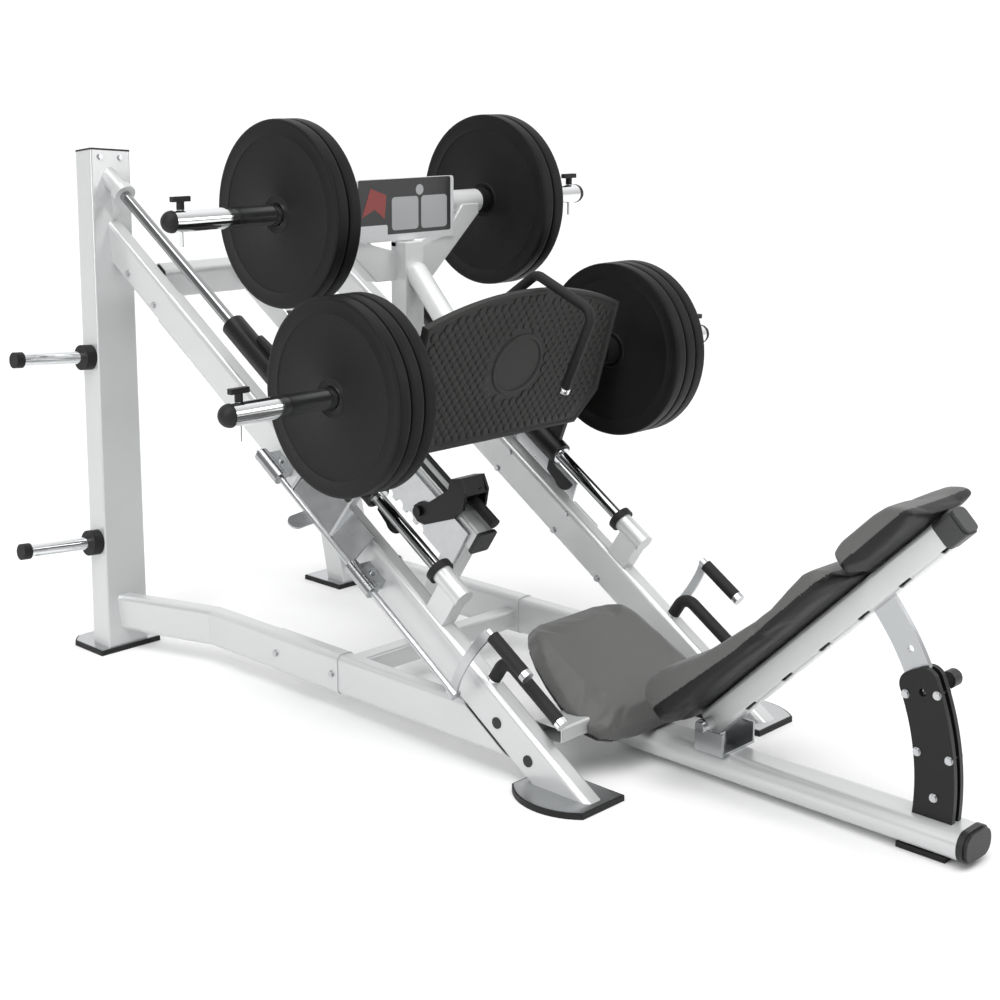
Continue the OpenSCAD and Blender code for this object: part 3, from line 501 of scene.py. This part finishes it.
# ---------------------------------------------------------------- placard
def slab(bm, x0, x1, z0, z1, y0, y1, r, steps=8):
    """A board that stands upright, with rounded corners."""
    outline = []
    corners = ((x1 - r, z1 - r, 0), (x0 + r, z1 - r, 90), (x0 + r, z0 + r, 180), (x1 - r, z0 + r, 270))
    for cx, cz, start in corners:
        for k in range(steps + 1):
            a = math.radians(start + 90 * k / steps)
            outline.append((cx + r * math.cos(a), cz + r * math.sin(a)))
    front = [bm.verts.new((x, y0, z)) for x, z in outline]
    back = [bm.verts.new((x, y1, z)) for x, z in outline]
    bm.faces.new(front)
    bm.faces.new(back[::-1])
    for k in range(len(outline)):
        m = (k + 1) % len(outline)
        bm.faces.new((front[k], back[k], back[m], front[m]))


lo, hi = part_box("placard")
INK_BLACK = surface("board_black", (0.020, 0.020, 0.022), 0.28, coat=0.4, mottle=0.03, rough_spread=0.03)
INK_WHITE = surface("board_white", (0.78, 0.79, 0.80), 0.30, coat=0.4, mottle=0.01, rough_spread=0.03)
INK_GREY = surface("board_grey", (0.46, 0.47, 0.48), 0.30, coat=0.4, mottle=0.02, rough_spread=0.03)
INK_RED = surface("board_red", (0.30, 0.030, 0.024), 0.30, coat=0.4, mottle=0.05, rough_spread=0.03)


def board(name, material, parts, y0, y1, replaces=()):
    bm = bmesh.new()
    for x0, x1, z0, z1, r in parts:
        slab(bm, x0, x1, z0, z1, y0, y1, r)
    piece = mesh_piece(name, mesh_from(bm, name), material, "carriage", smooth=False,
                       replaces=replaces)
    return piece


w, h = hi.x - lo.x, hi.z - lo.z


def area(u0, u1, v0, v1, r):
    """A patch of the board, given by fractions of its width and height."""
    return lo.x + u0 * w, lo.x + u1 * w, lo.z + v0 * h, lo.z + v1 * h, r


board("placard_base", INK_WHITE, [area(0, 1, 0, 1, 0.008)], lo.y, hi.y, replaces=("placard",))
board("placard_field", INK_BLACK, [area(0.01, 0.965, 0.11, 0.99, 0.006)], lo.y - 0.0003, lo.y)
board("placard_corner", INK_WHITE, [area(0.01, 0.30, 0.02, 0.27, 0.006)], lo.y - 0.0006, lo.y)
disc = 0.085 * h
mid_x, mid_z = lo.x + 0.635 * w, lo.z + 0.80 * h
board("placard_panels", INK_GREY,
      [area(0.345, 0.62, 0.17, 0.70, 0.010), area(0.65, 0.925, 0.17, 0.70, 0.010),
       (mid_x - disc, mid_x + disc, mid_z - disc, mid_z + disc, disc * 0.999)], lo.y - 0.0006, lo.y)


def ink_shape(name, material, points, lift):
    bm = bmesh.new()
    verts = [bm.verts.new((lo.x + u * w, lo.y - lift, lo.z + v * h)) for u, v in points]
    bm.faces.new(verts)
    mesh_piece(name, mesh_from(bm, name), material, "carriage", smooth=False)


ink_shape("placard_swoosh", INK_RED, [(0.04, 0.40), (0.13, 0.86), (0.29, 0.74), (0.27, 0.36), (0.17, 0.52)],
          0.0008)

# ---------------------------------------------------------------- upholstery
def cushion(name, node, body, voxel=0.006, pressure=4.0, cap=0.007, shrink=0.0015, hold=None, smooth=6,
            shade_mask=None):
    """Inflates a copy of a CAD pad by cloth simulation, keeping each point near where it started."""
    source = NODES[node]
    mesh = source.data.copy()
    piece = bpy.data.objects.new(name, mesh)
    bpy.context.scene.collection.objects.link(piece)
    bpy.context.view_layer.objects.active = piece
    bm = bmesh.new()
    bm.from_mesh(mesh)
    bmesh.ops.remove_doubles(bm, verts=bm.verts, dist=1e-5)
    bmesh.ops.recalc_face_normals(bm, faces=bm.faces)
    for v in bm.verts:
        v.co -= v.normal * shrink
    bm.to_mesh(mesh)
    bm.free()
    remesh = piece.modifiers.new("remesh", "REMESH")
    remesh.mode = "VOXEL"
    remesh.voxel_size = voxel
    soften = piece.modifiers.new("soften", "SMOOTH")
    soften.iterations = smooth
    soften.factor = 0.5
    graph = bpy.context.evaluated_depsgraph_get()
    start = bpy.data.meshes.new_from_object(piece.evaluated_get(graph))
    piece.modifiers.clear()
    piece.data = start
    group = piece.vertex_groups.new(name="held")
    rest = [v.co.copy() for v in start.vertices]
    for i, co in enumerate(rest):
        if hold and hold(co):
            group.add([i], 1.0, "REPLACE")
    cloth = piece.modifiers.new("cloth", "CLOTH")
    cloth.settings.quality = 6
    cloth.settings.mass = 0.3
    cloth.settings.tension_stiffness = 30
    cloth.settings.compression_stiffness = 30
    cloth.settings.bending_stiffness = 2.0
    cloth.settings.use_pressure = True
    cloth.settings.uniform_pressure_force = pressure
    cloth.settings.effector_weights.gravity = 0
    cloth.settings.vertex_group_mass = "held"
    cloth.point_cache.frame_start = 1
    cloth.point_cache.frame_end = 20
    for f in range(1, 21):
        bpy.context.scene.frame_set(f)
    graph = bpy.context.evaluated_depsgraph_get()
    blown = bpy.data.meshes.new_from_object(piece.evaluated_get(graph))
    piece.modifiers.clear()
    for v, co in zip(blown.vertices, rest):
        move = v.co - co
        if move.length > cap:
            v.co = co + move.normalized() * cap
    piece.data = blown
    bpy.context.scene.frame_set(1)
    relax = piece.modifiers.new("relax", "SMOOTH")
    relax.iterations = 4
    divide = piece.modifiers.new("divide", "SUBSURF")
    divide.levels = divide.render_levels = 1
    graph = bpy.context.evaluated_depsgraph_get()
    final = bpy.data.meshes.new_from_object(piece.evaluated_get(graph))
    piece.modifiers.clear()
    piece.data = final
    final.name = name
    final.materials.clear()
    final.materials.append(VINYL)
    # The second slot, a near-black copy of the vinyl, is painted shade on the faces the mask picks
    final.materials.append(VINYL_PAINTED_SHADE)
    for face in final.polygons:
        face.use_smooth = True
        if shade_mask and shade_mask(face.center):
            face.material_index = 1
    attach(piece, body)
    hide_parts(node)
    return piece


HINGE = Vector((0, -0.637, 0.128))
BACK = math.radians(44.3)
BACK_UP = Vector((0, -math.cos(BACK), math.sin(BACK)))
BACK_OUT = Vector((0, math.sin(BACK), math.cos(BACK)))
SEAT = math.radians(29)
SEAT_BASE = Vector((0, -0.459, 0.0766))
SEAT_OUT = Vector((0, -math.sin(SEAT), math.cos(SEAT)))

cushion("seat_cushion", "seat_pad", "frame", hold=lambda c: (c - SEAT_BASE).dot(SEAT_OUT) < 0.018)
def painted_shade_under_ridge(c):
    """Picks the part of a backrest cushion between its widest line and the tube, where the near-black vinyl is
    laid as painted shade.
    """
    up, out = (c - HINGE).dot(BACK_UP), (c - HINGE).dot(BACK_OUT)
    return out < 0.065 + 0.018 * min(1, max(0, 1 - up / 0.250))


# Below their widest line the backrest cushions take the near-black vinyl as painted shade
for label in ("back", "head"):
    cushion(f"{label}_cushion", f"{label}_pad", "backrest", cap=0.005, smooth=8, shade_mask=painted_shade_under_ridge,
            hold=lambda c: (c - HINGE).dot(BACK_OUT) < 0.040)

# ---------------------------------------------------------------- floor, light and camera
def area_light(name, place, target, size, power, color=(1, 1, 1)):
    light = bpy.data.lights.new(name, "AREA")
    light.shape = "RECTANGLE"
    light.size, light.size_y = size
    light.energy = power
    light.color = color
    lamp = bpy.data.objects.new(name, light)
    bpy.context.scene.collection.objects.link(lamp)
    lamp.location = place
    lamp.rotation_euler = (Vector(target) - Vector(place)).to_track_quat("-Z", "Y").to_euler()
    return lamp


area_light("key", (-3.6, -0.6, 2.4), (0, 0, 0.6), (1.6, 2.4), 55)
area_light("fill", (2.4, -3.4, 2.6), (0, -0.2, 0.5), (2.0, 1.4), 30)
sky = bpy.data.lights.new("sky", "SUN")
sky.energy = 2.0
sky.angle = math.radians(50)
sky_lamp = bpy.data.objects.new("sky", sky)
bpy.context.scene.collection.objects.link(sky_lamp)
sky_lamp.rotation_euler = (math.radians(14), math.radians(-16), 0)

floor_mesh = bpy.data.meshes.new("floor")
reach = 40
floor_mesh.from_pydata([(-reach, -reach, 0), (reach, -reach, 0), (reach, reach, 0), (-reach, reach, 0)], [],
                       [(0, 1, 2, 3)])
floor = bpy.data.objects.new("floor", floor_mesh)
bpy.context.scene.collection.objects.link(floor)
floor_mesh.materials.append(surface("floor_white", (0.90, 0.90, 0.90), 0.75, mottle=0.005, specular=0.2))

world = bpy.data.worlds.new("studio")
bpy.context.scene.world = world
world.use_nodes = True
# A studio with a bright wall behind the machine and a dimmer room in front of it
wall = world.node_tree
aim = wall.nodes.new("ShaderNodeTexCoord")
facing = wall.nodes.new("ShaderNodeVectorMath")
facing.operation = "DOT_PRODUCT"
facing.inputs[1].default_value = (0.72, 0.69, 0.0)
falloff = wall.nodes.new("ShaderNodeMapRange")
falloff.interpolation_type = "SMOOTHSTEP"
falloff.inputs["From Min"].default_value = -0.35
falloff.inputs["From Max"].default_value = 0.55
falloff.inputs["To Min"].default_value = 0.30
falloff.inputs["To Max"].default_value = 1.06
backdrop = wall.nodes["Background"]
backdrop.inputs["Color"].default_value = (1, 1, 1, 1)
wall.links.new(aim.outputs["Generated"], facing.inputs[0])
wall.links.new(facing.outputs["Value"], falloff.inputs["Value"])
wall.links.new(falloff.outputs["Result"], backdrop.inputs["Strength"])

scene = bpy.context.scene
scene.view_settings.view_transform = "Standard"
scene.view_settings.look = "None"
camera_data = bpy.data.cameras.new("camera")
camera = bpy.data.objects.new("camera", camera_data)
scene.collection.objects.link(camera)
camera.location = (-2.8979, -2.7470, 1.5184)
camera.rotation_euler = (math.radians(90 - 9.033), 0, math.radians(-45.870))
camera_data.sensor_width = 36
camera_data.lens = 60.757
camera_data.shift_x = 0.0105
camera_data.shift_y = -0.15
scene.camera = camera
